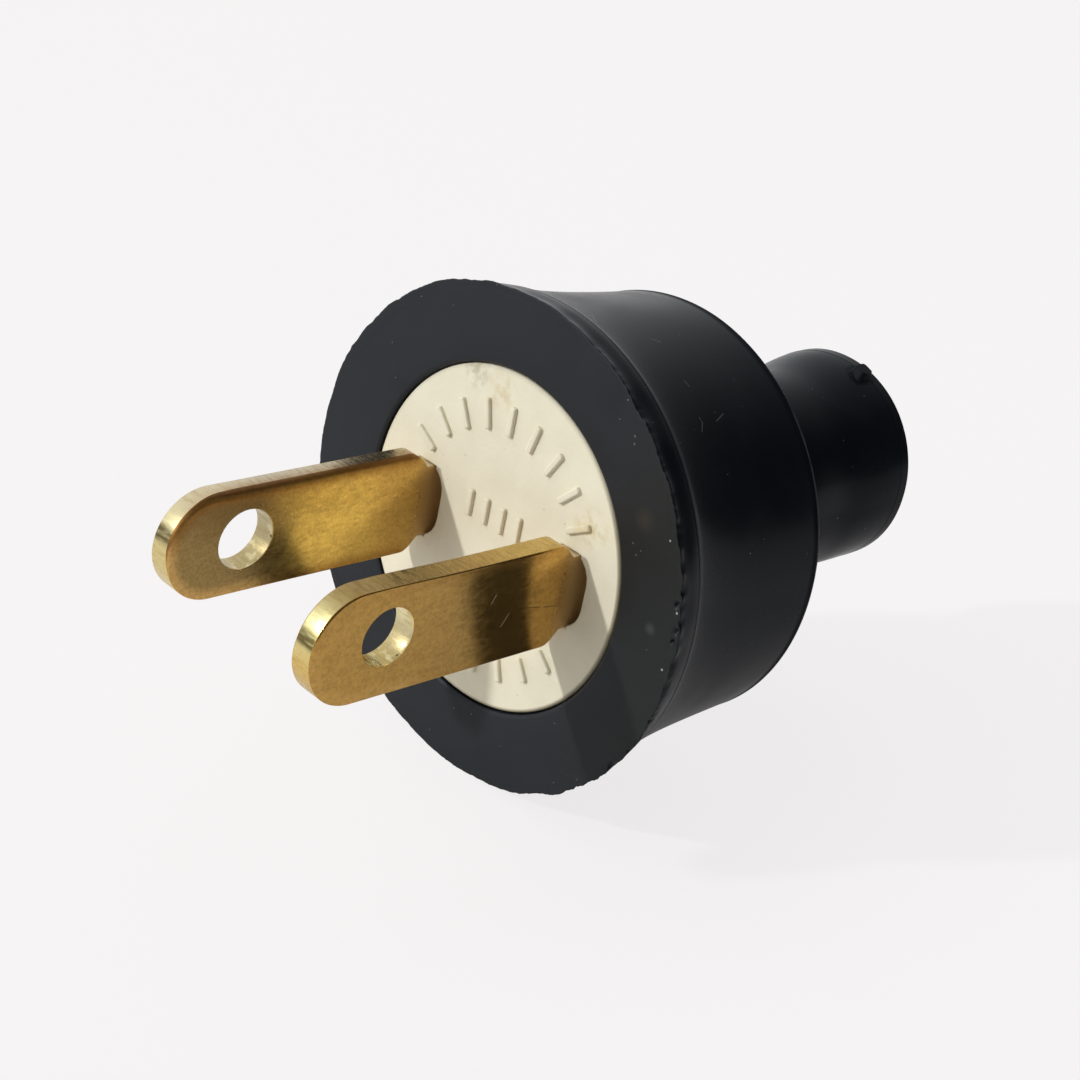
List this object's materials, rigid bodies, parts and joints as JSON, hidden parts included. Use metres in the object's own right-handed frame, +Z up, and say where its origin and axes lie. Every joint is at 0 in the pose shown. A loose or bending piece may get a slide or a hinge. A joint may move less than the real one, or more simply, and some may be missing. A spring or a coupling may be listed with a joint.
{
  "type": "rubber electric plug",
  "caption": "Rewirable electric plug: hollow black rubber body with a cord tail, gripping a round cream insert that carries flat brass blades, each with a round hole, and terminal screws inside.",
  "frame": {"origin": "centre of the insert's front face, midway between the blades", "axes": "-Y is the way the blades point and go into a socket, +Y runs along the cord tail, +Z is up along the blades' width"},
  "size_m": [0.0312, 0.0521, 0.0312],
  "materials": {
    "rubber": "satin moulded rubber with dust and trimmed flash",
    "insert": "matt cream thermoset moulding",
    "blade_brass": "glossy stamped brass with brown tarnish",
    "screw_steel": "zinc-plated steel"
  },
  "bodies": {
    "root": {"rubber_body": "rubber", "insert": "insert", "blade_left": "blade_brass", "blade_right": "blade_brass", "terminal_screw_left": "screw_steel", "terminal_screw_right": "screw_steel"}
  },
  "joints": []
}
